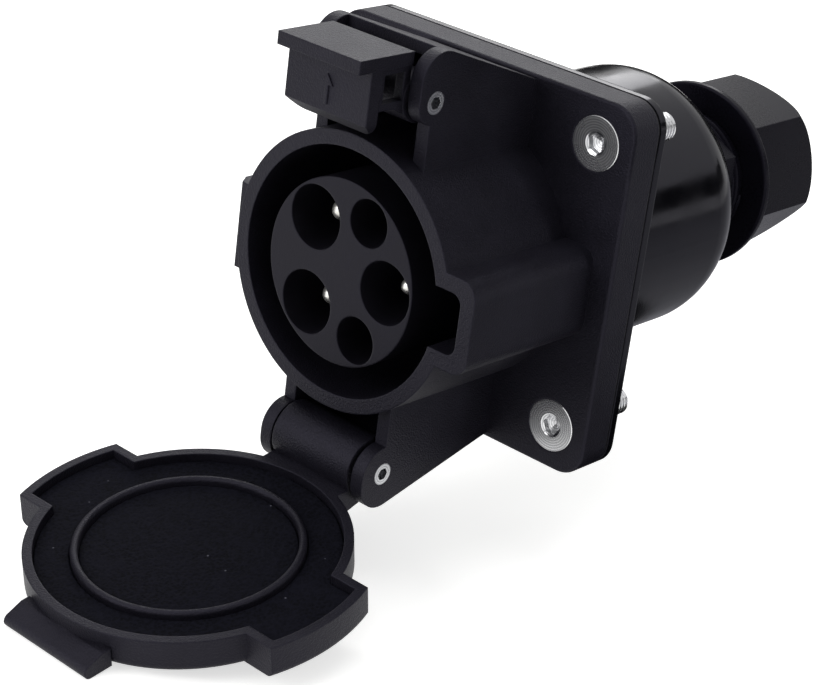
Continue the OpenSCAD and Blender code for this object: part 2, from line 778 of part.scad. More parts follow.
// Side web of the latch, with its window, drawn in (z, y)
module latch_web() {
    low = lip_tip + moving_gap;
    mid_top = latch_top - latch_top_t / 2;
    mid_front = latch_front - latch_front_t / 2;
    window_top = latch_under - web_frame / 2;
    window_front = catch_back - web_frame / 2;
    difference() {
        union() {
            translate([latch_pin_z, latch_pin_y]) circle(hub_r);
            polygon([
                [top_back, latch_pin_y], [top_back, mid_top], [mid_front, mid_top], [mid_front, low],
                [lid_front - lip_root_t, low], [latch_pin_z, latch_pin_y - hub_r]
            ]);
        }
        polygon([
            [latch_pin_z + hub_r, latch_pin_y], [latch_pin_z + hub_r, window_top],
            [window_front, window_top], [window_front, latch_pin_y]
        ]);
    }
}

module latch() color(black) in_frame() difference() {
    union() {
        across(latch_w) polygon([
            [top_back, latch_under], [top_back, latch_top], [latch_front + thumb_reach, latch_top],
            [latch_front + thumb_reach, latch_under]
        ]);
        intersection() {
            across(latch_w) polygon([
                [catch_back, latch_top - latch_top_t / 2], [catch_back, hook_low],
                [latch_front, hook_low + hook_slant], [latch_front, latch_top - latch_top_t / 2]
            ]);
            translate([0, (hook_low + latch_top) / 2, catch_back - past]) linear_extrude(latch_front)
                round_rect(latch_w, latch_top - hook_low, latch_corner_r);
        }
        for (sx = [-1, 1]) {
            across(web_t, sx * web_x) latch_web();
            cross_bar(hub_r, hub_len, latch_pin_y, latch_pin_z, sx * (turn_w - hub_len) / 2);
        }
        across(latch_w - 2 * web_t) polygon([
            [catch_back - web_frame, shelf_under], [catch_back - web_frame, shelf_under + web_frame / 2],
            [catch_back + fuse, shelf_under + web_frame / 2], [catch_back + fuse, shelf_under]
        ]);
    }
    cross_bar(hinge_pin_r + running_gap, lug_outer, latch_pin_y, latch_pin_z);
}

// Path of the spring's wire: a leg on the latch's shelf, the coil round the pin, a leg back to the tube
coil_x = coil_w / 2 - wire_r;
shelf_seat = [
    catch_back - web_frame / 2 - latch_pin_z,
    shelf_under + web_frame / 2 + leg_gap + wire_r - latch_pin_y
];
tube_seat = [
    -leg_len,
    sqrt(tube_r * tube_r - pow(coil_x - wire_r, 2)) + leg_gap + wire_r - latch_pin_y
];
shelf_touch = touch(shelf_seat, [0, 0], coil_r, -1);
tube_touch = touch(tube_seat, [0, 0], coil_r, 1);
coil_start = atan2(shelf_touch.y, shelf_touch.x);
coil_sweep = atan2(tube_touch.y, tube_touch.x) - coil_start + 360 * coil_turns;
turn_steps = 16;
wire_sides = 8;
coil_steps = turn_steps * (coil_turns + 1);
function coil_point(i) =
    let (s = i / coil_steps, a = coil_start + s * coil_sweep)
    [(2 * s - 1) * coil_x, latch_pin_y + coil_r * sin(a), latch_pin_z + coil_r * cos(a)];
wire_path = concat(
    [[-coil_x, latch_pin_y + shelf_seat.y, latch_pin_z + shelf_seat.x]],
    [for (i = [0:coil_steps]) coil_point(i)],
    [[coil_x, latch_pin_y + tube_seat.y, latch_pin_z + tube_seat.x]]
);

// Round wire along a path that stays nearly square to x
module wire(path, r, sides) {
    last = len(path) - 1;
    rings = [for (i = [0:last])
        let (d = path[min(i + 1, last)] - path[max(i - 1, 0)], n = [0, -d.z, d.y] / norm([0, d.z, d.y]))
        for (k = [0:sides - 1]) path[i] + r * (cos(360 * k / sides) * [1, 0, 0] + sin(360 * k / sides) * n)
    ];
    skin = [for (i = [0:last - 1], k = [0:sides - 1])
        [i * sides + k, i * sides + (k + 1) % sides, (i + 1) * sides + (k + 1) % sides, (i + 1) * sides + k]
    ];
    ends = [[for (k = [sides - 1:-1:0]) k], [for (k = [0:sides - 1]) last * sides + k]];
    polyhedron(rings, concat(skin, ends));
}

module latch_spring() color(steel) in_frame() wire(wire_path, wire_r, wire_sides);

module gland_body() color(black) in_frame() difference() {
    union() {
        cylinder_between(gland_shank_r, base_front - fuse, rear_end + rear_end_t + lock_nut_t + past);
        translate([0, 0, base_back]) linear_extrude(gland_base_t)
            rotate(gland_base_turn) hexagon(gland_base_flats);
        cylinder_between(neck_r, neck_end, base_back + fuse);
    }
    cylinder_between(gland_bore_r, neck_end - past, 0);
    for (a = [0:360 / finger_slots:359]) rotate(a)
        translate([gland_bore_r - past, -slot_w / 2, neck_end - past])
            cube([neck_r, slot_w, slot_len + past]);
}

module gland_o_ring() color(rubber_black) in_frame()
    translate([0, 0, rear_end - o_ring_r]) rotate_extrude()
        translate([gland_shank_r + gland_gap + o_ring_r, 0]) circle(o_ring_r, $fn = 32);

module gland_lock_nut() color(black) in_frame() difference() {
    translate([0, 0, rear_end + rear_end_t]) linear_extrude(lock_nut_t) hexagon(lock_nut_flats);
    cylinder_between(gland_shank_r + thread_gap, rear_end, 0);
}

module gland_seal() color(rubber_black) in_frame() difference() {
    cylinder_between(sleeve_r, sleeve_back, sleeve_back + sleeve_len);
    cylinder_between(cable_r, sleeve_back - past, sleeve_back + sleeve_len + past);
}

module gland_cap_nut() color(black) in_frame() difference() {
    union() {
        intersection() {
            translate([0, 0, cap_back]) linear_extrude(cap_len - cap_collar_t + fuse)
                rotate(cap_turn) hexagon(cap_flats);
            translate([0, 0, cap_front]) mirror([0, 0, 1]) soft_disc(cap_r, cap_len, cap_end_r);
        }
        translate([0, 0, cap_front - cap_collar_t]) soft_disc(cap_r, cap_collar_t, cap_edge_r);
    }
    cylinder_between(neck_r + thread_gap, neck_end - moving_gap, cap_front + past);
    cylinder_between(sleeve_r + thread_gap, sleeve_back, cap_front);
    cylinder_between(cable_r + cap_mouth_step, cap_back - past, cap_front);
}

front_housing();
contact_block();
contact_core();
contact_retainer();
retainer_screws();
line_1_pin();
line_2_pin();
earth_pin();
pilot_pin();
proximity_pin();
flange_gasket();
rear_housing();
flange_screws();
flange_nuts();
lid();
lid_seal_ring();
lid_seal_disc();
lid_hinge_pin();
latch();
latch_hinge_pin();
latch_spring();
gland_body();
gland_o_ring();
gland_lock_nut();
gland_seal();
gland_cap_nut();
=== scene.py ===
# %% [markdown]
# # A charge port inlet, dressed in Blender
# The solids come packed from the CAD step: a socket with a square flange, a lid, a latch, a rear housing
# and a cable gland. This lesson adds what the solids lack: finishes, pitted foam, threads and a mark.
# Their box is kept, so that it can be compared at the end.

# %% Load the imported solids
import json
import math

import bmesh
import bpy
from mathutils import Matrix, Vector, noise


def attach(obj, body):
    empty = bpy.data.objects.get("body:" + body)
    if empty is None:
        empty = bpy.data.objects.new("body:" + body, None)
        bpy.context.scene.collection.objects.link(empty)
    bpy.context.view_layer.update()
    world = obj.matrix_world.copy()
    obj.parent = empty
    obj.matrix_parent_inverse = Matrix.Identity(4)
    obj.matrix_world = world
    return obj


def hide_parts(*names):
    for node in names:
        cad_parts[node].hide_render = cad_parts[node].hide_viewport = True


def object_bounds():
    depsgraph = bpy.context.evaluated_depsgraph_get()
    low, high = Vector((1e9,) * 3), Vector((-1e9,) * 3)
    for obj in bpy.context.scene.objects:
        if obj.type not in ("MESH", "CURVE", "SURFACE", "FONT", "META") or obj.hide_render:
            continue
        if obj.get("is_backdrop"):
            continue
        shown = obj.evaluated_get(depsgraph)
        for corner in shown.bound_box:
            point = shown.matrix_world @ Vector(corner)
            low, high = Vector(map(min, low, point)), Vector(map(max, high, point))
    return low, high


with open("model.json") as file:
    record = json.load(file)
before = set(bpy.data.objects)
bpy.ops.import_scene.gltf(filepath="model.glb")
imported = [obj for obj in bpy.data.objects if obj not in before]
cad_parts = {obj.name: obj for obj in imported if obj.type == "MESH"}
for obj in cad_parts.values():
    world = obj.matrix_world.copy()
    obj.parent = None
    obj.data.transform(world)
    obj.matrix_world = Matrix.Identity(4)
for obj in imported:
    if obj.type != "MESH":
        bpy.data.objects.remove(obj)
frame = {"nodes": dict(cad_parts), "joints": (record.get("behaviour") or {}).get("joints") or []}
nodes = frame["nodes"]
joints = {joint["name"]: joint for joint in frame["joints"]}
cad_low, cad_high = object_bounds()
MM = 0.001
scene = bpy.context.scene
print("loaded", len(nodes), "nodes, box in mm:", [round(side / MM, 1) for side in cad_high - cad_low])

# %% [markdown]
# ## The camera
# A product photo like this one is taken with a long lens from a little above. The place and the turn of
# the camera were found by laying known edges of the part over the picture. A camera looks along its own
# -Z axis, so its matrix is made of three directions: right, up and back.

# %% Place the camera
IMAGE_WIDTH_PX, FOCAL_PX = 816, 2300
SENSOR_MM = 36
CLIP_NEAR_M, CLIP_FAR_M = 0.01, 20
RIGHT = Vector((0.7315, 0.6714, 0.1195))
UP = Vector((-0.3493, 0.2183, 0.9113))
BACK = Vector((0.5857, -0.7083, 0.3941))
EYE = Vector((242.4, -312.1, 145.1)) * MM

lens = bpy.data.cameras.new("photo_camera")
lens.sensor_width = SENSOR_MM
lens.lens = FOCAL_PX * SENSOR_MM / IMAGE_WIDTH_PX
lens.clip_start, lens.clip_end = CLIP_NEAR_M, CLIP_FAR_M
camera = bpy.data.objects.new("photo_camera", lens)
scene.collection.objects.link(camera)
turn = Matrix((RIGHT, UP, BACK)).transposed().to_quaternion().to_matrix().to_4x4()
camera.matrix_world = Matrix.Translation(EYE) @ turn
scene.camera = camera
scene.view_settings.view_transform = "Standard"
print("camera lens", round(lens.lens, 1), "mm")

# %% [markdown]
# ## Helpers for every material
# Colours are written as a painter or a web page writes them, in sRGB. Blender's sockets hold linear
# light, so one function turns one into the other. A second function adds a shader node, sets its
# fields and fills its inputs: a value is set on the socket, and another node's output is linked to it.
# A third starts an empty material.

# %% Colour and node helpers
def linear(hex_colour):
    """The linear RGBA of an sRGB hex colour."""
    channels = [int(hex_colour[i:i + 2], 16) / 255 for i in (1, 3, 5)]
    return [c / 12.92 if c <= 0.04045 else ((c + 0.055) / 1.055) ** 2.4 for c in channels] + [1]


def add(tree, kind, inputs=None, **fields):
    """Adds one node to a tree. Inputs are named, or numbered where a node repeats a name."""
    node = tree.nodes.new(kind)
    for field, value in fields.items():
        setattr(node, field, value)
    for key, value in (inputs or {}).items():
        if isinstance(value, bpy.types.NodeSocket):
            tree.links.new(value, node.inputs[key])
        else:
            node.inputs[key].default_value = value
    return node


def new_tree(name):
    """An empty node material and its tree."""
    material = bpy.data.materials.new(name)
    material.use_nodes = True
    material.node_tree.nodes.clear()
    return material, material.node_tree


WHITE = linear("#ffffff")
print("the sRGB grey #808080 is", round(linear("#808080")[0], 3), "in linear light")

# %% [markdown]
# ## A pale floor and a white surround
# The photo is a cut-out on white. A floor that is lit like the object would come out grey, so rays from
# the camera, and rays that a shiny surface or glass sends, see it with a glow added. The lit part is
# still there under the glow, and that is what keeps the object's shadow.

# %% Floor and world
FLOOR_HALF_M = 3
FLOOR_COLOUR = linear("#f0f0ee")
FLOOR_GLOW = 0.62
WORLD_LIGHT = 0.45


def seen_directly(tree):
    """1 for rays from the camera, from a mirror-like surface or through glass."""
    path = add(tree, "ShaderNodeLightPath")
    either = add(tree, "ShaderNodeMath", {
        0: path.outputs["Is Camera Ray"], 1: path.outputs["Is Glossy Ray"]}, operation="MAXIMUM")
    any_of_three = add(tree, "ShaderNodeMath", {
        0: either.outputs[0], 1: path.outputs["Is Transmission Ray"]}, operation="MAXIMUM")
    return any_of_three.outputs[0]


def mesh_object(name, bm, finish):
    """Makes a drawn shape an object of the scene, with one material."""
    mesh = bpy.data.meshes.new(name)
    bm.to_mesh(mesh)
    bm.free()
    mesh.materials.append(finish)
    made = bpy.data.objects.new(name, mesh)
    scene.collection.objects.link(made)
    return made


floor_paint, tree = new_tree("matt_white_paper")
matt = add(tree, "ShaderNodeBsdfDiffuse", {"Color": FLOOR_COLOUR})
glow_level = add(tree, "ShaderNodeMath", {0: seen_directly(tree), 1: FLOOR_GLOW}, operation="MULTIPLY")
glow = add(tree, "ShaderNodeEmission", {"Color": WHITE, "Strength": glow_level.outputs[0]})
both = add(tree, "ShaderNodeAddShader", {0: matt.outputs[0], 1: glow.outputs[0]})
add(tree, "ShaderNodeOutputMaterial", {"Surface": both.outputs[0]})

bm = bmesh.new()
bmesh.ops.create_grid(bm, x_segments=1, y_segments=1, size=FLOOR_HALF_M)
bmesh.ops.translate(bm, verts=bm.verts, vec=(0, 0, cad_low.z))
floor = mesh_object("floor", bm, floor_paint)
floor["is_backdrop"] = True

world = bpy.data.worlds.new("white_surround")
scene.world = world
world.use_nodes = True
tree = world.node_tree
tree.nodes.clear()
level = add(tree, "ShaderNodeMapRange", {
    "Value": seen_directly(tree), "To Min": WORLD_LIGHT, "To Max": 1})
surround = add(tree, "ShaderNodeBackground", {"Color": WHITE, "Strength": level.outputs[0]})
add(tree, "ShaderNodeOutputWorld", {"Surface": surround.outputs[0]})
print("floor at", round(cad_low.z / MM, 1), "mm")

# %% [markdown]
# ## Soft studio light
# The photo's brightest faces look up, and its shadows are soft. A wide lamp overhead does most of the
# work, and one behind on the left glances off every level face. Another stands in front, and a tall
# strip on the right draws a line on the rear housing. Each lamp's power follows from its distance, so
# that a lamp can be moved without changing how bright it is on the object.

# %% Lamps
def soft_lamp(name, place_mm, size_mm, brightness):
    """A rectangular lamp aimed at the object. A white wall facing it would show this brightness."""
    place = Vector(place_mm) * MM
    lamp = bpy.data.lights.new(name, "AREA")
    lamp.shape = "RECTANGLE"
    lamp.size, lamp.size_y = size_mm[0] * MM, size_mm[1] * MM
    lamp.energy = brightness * math.pi ** 2 * place.length_squared
    holder = bpy.data.objects.new(name, lamp)
    holder.location = place
    holder.rotation_mode = "QUATERNION"
    holder.rotation_quaternion = place.to_track_quat("Z", "Y")
    scene.collection.objects.link(holder)
    print(name, round(lamp.energy, 2), "W")


soft_lamp("overhead_softbox", place_mm=(-60, 60, 800), size_mm=(700, 600), brightness=0.42)
soft_lamp("back_softbox", place_mm=(-520, 620, 430), size_mm=(500, 320), brightness=0.2)
soft_lamp("front_softbox", place_mm=(-250, -750, 350), size_mm=(400, 400), brightness=0.4)
soft_lamp("strip_light", place_mm=(750, 250, 250), size_mm=(90, 700), brightness=0.12)

# %% [markdown]
# ## Dark cards
# A black object shows little colour of its own. What gives it form is what it mirrors, so a
# photographer sets cards around it, and each leaves a dark band beside a bright one. Three stand well
# away, two stand close beside the flange, and two lie on the floor. The camera doesn't see them and
# they cast no shadow: they are there for reflections only.

# %% Cards
# A real weave is far finer. Only its broad shading shows in a reflection, so that is what is drawn.
WEAVE_MM = 40
CARD_LIFT_MM = 2
FACING_FRONT, FACING_LEFT, FACING_UP = (0, -1, 0), (-1, 0, 0), (0, 0, 1)


def felt(name, dark, pale):
    """Dull woven cloth between two shades."""
    material, tree = new_tree(name)
    where = add(tree, "ShaderNodeTexCoord").outputs["Object"]
    weave = add(tree, "ShaderNodeTexNoise", {"Vector": where, "Scale": 1 / (WEAVE_MM * MM), "Detail": 3})
    shade = add(tree, "ShaderNodeMix", {
        "Factor": weave.outputs["Fac"], "A": linear(dark), "B": linear(pale)}, data_type="RGBA")
    matt = add(tree, "ShaderNodeBsdfDiffuse", {"Color": shade.outputs["Result"]})
    add(tree, "ShaderNodeOutputMaterial", {"Surface": matt.outputs[0]})
    return material


def reflection_card(name, cloth, place_mm, size_mm, facing):
    """A flat card square to a direction, which only reflections see."""
    bm = bmesh.new()
    bmesh.ops.create_grid(bm, x_segments=1, y_segments=1, size=0.5)
    bmesh.ops.scale(bm, vec=(size_mm[0] * MM, size_mm[1] * MM, 1), verts=bm.verts)
    bmesh.ops.rotate(bm, matrix=Vector(facing).to_track_quat("Z", "Y").to_matrix(), verts=bm.verts)
    bmesh.ops.translate(bm, vec=Vector(place_mm) * MM, verts=bm.verts)
    card = mesh_object(name, bm, cloth)
    card.visible_camera = False
    card.visible_diffuse = False
    card.visible_shadow = False
    card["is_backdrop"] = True
    print(name, size_mm[0], "by", size_mm[1], "mm")


velvet = felt("black_velvet", "#040405", "#1c1c20")
grey_felt = felt("grey_felt", "#a2a2a9", "#babac1")
laid_mm = cad_low.z / MM + CARD_LIFT_MM
reflection_card("side_card", velvet, (620, 680, 150), (900, 190), (0.66, 0.73, 0))
reflection_card("low_card", velvet, (-330, 560, 20), (700, 260), (-0.5, 0.86, 0))
reflection_card("left_card", velvet, (-700, -200, 120), (600, 380), FACING_LEFT)
reflection_card("over_flange_card", velvet, (46, -9.2, 51.5), (68, 33), FACING_FRONT)
reflection_card("beside_flange_card", velvet, (57.5, -9.2, 28.5), (45, 13), FACING_FRONT)
reflection_card("floor_card", grey_felt, (330, 400, laid_mm), (900, 800), FACING_UP)
reflection_card("under_card", velvet, (10, 31, laid_mm + CARD_LIFT_MM), (140, 74), FACING_UP)

# %% [markdown]
# ## Rounded edges for the light
# A moulded edge is rounded by a fraction of a millimetre, and its corners are slightly paler where
# handling has rubbed them. The solids have sharp edges, so the Bevel node rounds them for the light
# only. Where it bends the normal is where an edge is, and that same difference marks the rubbed
# corners. Inside corners aren't rubbed, so an Ambient Occlusion node, which sees how closed in a spot
# is, keeps both away from them.

# %% Edge helper
EDGE_MM, CORNER_MM = 0.4, 1.0
EDGE_SAMPLES, CORNER_SAMPLES = 6, 4
CLOSED_IN, OPEN_AIR = 0.7, 0.9
FULL_BEND = 0.8
# A Mix node repeats its names A, B and Result for each kind of data. These are its vector sockets.
VECTOR_A, VECTOR_B, VECTOR_RESULT = 4, 5, 1


def rounded_edges(tree, radius_mm):
    """A normal that rounds sharp edges, and a mask that is 1 along them."""
    bevel = add(tree, "ShaderNodeBevel", {"Radius": radius_mm * MM}, samples=EDGE_SAMPLES)
    flat = add(tree, "ShaderNodeNewGeometry")
    same = add(tree, "ShaderNodeVectorMath", {
        0: bevel.outputs["Normal"], 1: flat.outputs["Normal"]}, operation="DOT_PRODUCT")
    air = add(tree, "ShaderNodeAmbientOcclusion", {
        "Distance": CORNER_MM * MM}, samples=CORNER_SAMPLES, only_local=True)
    outside = add(tree, "ShaderNodeMapRange", {
        "Value": air.outputs["AO"], "From Min": CLOSED_IN, "From Max": OPEN_AIR})
    normal = add(tree, "ShaderNodeMix", {
        "Factor": outside.outputs["Result"], VECTOR_A: flat.outputs["Normal"],
        VECTOR_B: bevel.outputs["Normal"]}, data_type="VECTOR")
    bend = add(tree, "ShaderNodeMapRange", {
        "Value": same.outputs["Value"], "From Min": 1, "From Max": FULL_BEND})
    edge = add(tree, "ShaderNodeMath", {
        0: bend.outputs["Result"], 1: outside.outputs["Result"]}, operation="MULTIPLY")
    return normal.outputs[VECTOR_RESULT], edge.outputs[0]


print("edges are rounded by", EDGE_MM, "mm")

# %% [markdown]
# ## Moulded black nylon
# The front housing, the lid, the latch and the gland are injection-moulded nylon from a spark-eroded
# tool. Such a surface has a fine grain that breaks up reflections, a tone that is a little cloudy, and
# rubbed edges. The insulator's tool was smoother, and the gland's smoother still. A noise as fine as
# the grain gives the relief, and a broad one the clouds. Their sum varies the tone and the roughness.

# %% Black nylon
CLOUD_MM = 9
MOTTLE_LOW, MOTTLE_HIGH = 0.6, 1.4
ROUGHNESS_SPREAD = 0.05
PLASTIC_IOR = 1.53
COOL_SHEEN = linear("#e6e2ff")


def moulded_plastic(name, dark, pale, worn, roughness, gloss, grain_mm, grain_depth_mm):
    """Black plastic from a textured tool: grain, cloudy tone, rubbed edges."""
    material, tree = new_tree(name)
    where = add(tree, "ShaderNodeTexCoord").outputs["Object"]
    normal, edge = rounded_edges(tree, EDGE_MM)
    clouds = add(tree, "ShaderNodeTexNoise", {"Vector": where, "Scale": 1 / (CLOUD_MM * MM), "Detail": 6})
    grain = add(tree, "ShaderNodeTexNoise", {"Vector": where, "Scale": 1 / (grain_mm * MM), "Detail": 3})
    total = add(tree, "ShaderNodeMath", {
        0: grain.outputs["Fac"], 1: clouds.outputs["Fac"]}, operation="ADD")
    mottle = add(tree, "ShaderNodeMapRange", {
        "Value": total.outputs[0], "From Min": MOTTLE_LOW, "From Max": MOTTLE_HIGH})
    tone = add(tree, "ShaderNodeMix", {
        "Factor": mottle.outputs["Result"], "A": linear(dark), "B": linear(pale)}, data_type="RGBA")
    rub = add(tree, "ShaderNodeMath", {0: edge, 1: clouds.outputs["Fac"]}, operation="MULTIPLY")
    colour = add(tree, "ShaderNodeMix", {
        "Factor": rub.outputs[0], "A": tone.outputs["Result"], "B": linear(worn)}, data_type="RGBA")
    rough = add(tree, "ShaderNodeMapRange", {
        "Value": mottle.outputs["Result"],
        "To Min": roughness - ROUGHNESS_SPREAD, "To Max": roughness + ROUGHNESS_SPREAD})
    relief = add(tree, "ShaderNodeBump", {
        "Height": grain.outputs["Fac"], "Normal": normal, "Distance": grain_depth_mm * MM})
    skin = add(tree, "ShaderNodeBsdfPrincipled", {
        "Base Color": colour.outputs["Result"], "Roughness": rough.outputs["Result"],
        "Normal": relief.outputs["Normal"], "IOR": PLASTIC_IOR, "Specular IOR Level": gloss,
        "Specular Tint": COOL_SHEEN})
    add(tree, "ShaderNodeOutputMaterial", {"Surface": skin.outputs["BSDF"]})
    return material


# Real spark grain is about a tenth of a millimetre across. It is drawn coarser, so that it shows.
nylon = moulded_plastic("black_nylon_spark_grain", "#09080d", "#19181f", "#1e1d26",
                        roughness=0.46, gloss=0.17, grain_mm=0.32, grain_depth_mm=0.14)
insulator = moulded_plastic("black_nylon_satin", "#0a090d", "#15141a", "#1a1920",
                            roughness=0.44, gloss=0.14, grain_mm=0.25, grain_depth_mm=0.04)
gland_nylon = moulded_plastic("black_nylon_glossy", "#0d0c12", "#131219", "#24232b",
                              roughness=0.28, gloss=0.06, grain_mm=0.4, grain_depth_mm=0.005)
print("made", nylon.name, insulator.name, gland_nylon.name)

# %% [markdown]
# ## Polished black for the rear housing
# The rear housing left a polished tool, so it mirrors the room. It isn't a perfect mirror: moulded
# plastic shrinks a little as it cools, which bends reflections gently, and fingers leave a dull film.

# %% Polished black
RIPPLE_MM, RIPPLE_DEPTH_MM, RIPPLE_STRENGTH = 16, 0.2, 0.5
FILM_MM = 8
polished, tree = new_tree("black_abs_polished")
where = add(tree, "ShaderNodeTexCoord").outputs["Object"]
normal = rounded_edges(tree, EDGE_MM)[0]
ripple = add(tree, "ShaderNodeTexNoise", {"Vector": where, "Scale": 1 / (RIPPLE_MM * MM), "Detail": 1})
film = add(tree, "ShaderNodeTexNoise", {"Vector": where, "Scale": 1 / (FILM_MM * MM), "Detail": 6})
rough = add(tree, "ShaderNodeMapRange", {
    "Value": film.outputs["Fac"], "From Min": 0.35, "From Max": 0.75, "To Min": 0.12, "To Max": 0.24})
tone = add(tree, "ShaderNodeMix", {
    "Factor": film.outputs["Fac"], "A": linear("#050507"), "B": linear("#0b0b0e")}, data_type="RGBA")
relief = add(tree, "ShaderNodeBump", {
    "Height": ripple.outputs["Fac"], "Normal": normal, "Strength": RIPPLE_STRENGTH,
    "Distance": RIPPLE_DEPTH_MM * MM})
skin = add(tree, "ShaderNodeBsdfPrincipled", {
    "Base Color": tone.outputs["Result"], "Roughness": rough.outputs["Result"],
    "Normal": relief.outputs["Normal"], "IOR": PLASTIC_IOR, "Specular IOR Level": 0.2,
    "Specular Tint": COOL_SHEEN})
add(tree, "ShaderNodeOutputMaterial", {"Surface": skin.outputs["BSDF"]})
print("made", polished.name)

# %% [markdown]
# ## Turned stainless steel
# Screw heads and pins come off a lathe, and the tool leaves fine rings. A ring is a wave over the
# distance from the piece's own axis. The four screws are one mesh, placed evenly about the socket's
# axis, so folding x and z with an absolute value brings all four onto one. Each hinge pin lies on the
# axis of its joint. The spring's wire and the plated contacts are metal too, with no rings.

# %% Stainless steel
FULL_TURN = 2 * math.pi
SCREW_PITCH_MM = 53
SCREW_AXIS = Vector((SCREW_PITCH_MM / 2, 0, SCREW_PITCH_MM / 2)) * MM
LID_PIN = Vector(joints["lid_swing"]["pos_m"])
LATCH_PIN = Vector(joints["latch_lift"]["pos_m"])
ACROSS_X, ACROSS_Y = (0, 1, 1), (1, 0, 1)
# Real rings are finer than a pixel here, so they are drawn coarser.
RING_MM = 0.45
METAL_SPREAD = 0.03


def turned_metal(name, bright, dull, roughness, ring_share=0, across=ACROSS_Y, centre=(0, 0, 0)):
    """Metal with lathe rings.

    The axes lie at plus and minus the centre, in metres. Across picks the two directions square to them.
    """
    material, tree = new_tree(name)
    where = add(tree, "ShaderNodeTexCoord").outputs["Object"]
    folded = add(tree, "ShaderNodeVectorMath", {0: where}, operation="ABSOLUTE")
    flat = add(tree, "ShaderNodeVectorMath", {0: folded.outputs[0], 1: across}, operation="MULTIPLY")
    radius = add(tree, "ShaderNodeVectorMath", {
        0: flat.outputs[0], 1: [abs(c) for c in centre]}, operation="DISTANCE")
    turns = add(tree, "ShaderNodeMath", {
        0: radius.outputs["Value"], 1: FULL_TURN / (RING_MM * MM)}, operation="MULTIPLY")
    rings = add(tree, "ShaderNodeMath", {0: turns.outputs[0]}, operation="SINE")
    film = add(tree, "ShaderNodeTexNoise", {"Vector": where, "Scale": 1 / (FILM_MM * MM), "Detail": 2})
    wave = add(tree, "ShaderNodeMath", {0: rings.outputs[0], 1: ring_share}, operation="MULTIPLY")
    mark = add(tree, "ShaderNodeMath", {0: wave.outputs[0], 1: film.outputs["Fac"]}, operation="ADD")
    tone = add(tree, "ShaderNodeMix", {
        "Factor": mark.outputs[0], "A": linear(bright), "B": linear(dull)}, data_type="RGBA")
    rough = add(tree, "ShaderNodeMapRange", {
        "Value": film.outputs["Fac"], "From Min": 0.3, "From Max": 0.7,
        "To Min": roughness - METAL_SPREAD, "To Max": roughness + METAL_SPREAD})
    skin = add(tree, "ShaderNodeBsdfPrincipled", {
        "Base Color": tone.outputs["Result"], "Metallic": 1, "Roughness": rough.outputs["Result"]})
    add(tree, "ShaderNodeOutputMaterial", {"Surface": skin.outputs["BSDF"]})
    return material


def pin_steel(name, centre):
    """The steel of a hinge pin that lies across the part."""
    return turned_metal(name, "#d4d5d7", "#8e8f93", 0.26, 0.3, ACROSS_X, centre)


steel = turned_metal("stainless_steel_turned", "#ececed", "#98999d", 0.26, 0.28, ACROSS_Y, SCREW_AXIS)
lid_pin_steel = pin_steel("stainless_steel_lid_pin", LID_PIN)
latch_pin_steel = pin_steel("stainless_steel_latch_pin", LATCH_PIN)
wire_steel = turned_metal("stainless_steel_wire", "#c6c7c9", "#8d8e91", 0.3)
silver = turned_metal("silver_plated_brass", "#e6e5e1", "#d2d0ca", 0.42)
print("made", steel.name, lid_pin_steel.name, latch_pin_steel.name, wire_steel.name, silver.name)

# %% [markdown]
# ## Rubber
# The flat gasket, the ring and the sleeve are rubber. Moulded rubber is duller than nylon and has a
# faint bloom, a pale dust that comes out of it with age.

# %% Rubber
BLOOM_MM, BLOOM_DEPTH_MM = 3, 0.05
RUBBER_EDGE_MM = 0.25
rubber, tree = new_tree("nitrile_rubber_moulded")
where = add(tree, "ShaderNodeTexCoord").outputs["Object"]
normal = rounded_edges(tree, RUBBER_EDGE_MM)[0]
bloom = add(tree, "ShaderNodeTexNoise", {"Vector": where, "Scale": 1 / (BLOOM_MM * MM), "Detail": 6})
tone = add(tree, "ShaderNodeMix", {
    "Factor": bloom.outputs["Fac"], "A": linear("#0d0d0f"), "B": linear("#1a1a1d")}, data_type="RGBA")
relief = add(tree, "ShaderNodeBump", {
    "Height": bloom.outputs["Fac"], "Normal": normal, "Distance": BLOOM_DEPTH_MM * MM})
skin = add(tree, "ShaderNodeBsdfPrincipled", {
    "Base Color": tone.outputs["Result"], "Roughness": 0.72, "Normal": relief.outputs["Normal"],
    "IOR": 1.52, "Specular IOR Level": 0.25})
add(tree, "ShaderNodeOutputMaterial", {"Surface": skin.outputs["BSDF"]})
print("made", rubber.name)

# %% [markdown]
# ## Give each solid its finish
# Every node that no new piece replaces keeps its shape and gets one of these materials in place of its
# plain colour. The foam and the flange's screws are replaced further down, so they aren't listed.

# %% Dress the solids
finishes = {
    nylon: ["front_housing", "lid", "latch", "contact_retainer"],
    insulator: ["contact_block", "contact_core"],
    gland_nylon: ["gland_body", "gland_cap_nut", "gland_lock_nut"],
    polished: ["rear_housing"],
    steel: ["flange_nuts"],
    lid_pin_steel: ["lid_hinge_pin"],
    latch_pin_steel: ["latch_hinge_pin"],
    wire_steel: ["retainer_screws", "latch_spring"],
    silver: ["line_1_pin", "line_2_pin", "earth_pin", "pilot_pin", "proximity_pin"],
    rubber: ["flange_gasket", "gland_o_ring", "gland_seal"],
}
for finish, names in finishes.items():
    for name in names:
        nodes[name].data.materials.clear()
        nodes[name].data.materials.append(finish)
print("dressed", sum(len(names) for names in finishes.values()), "nodes")
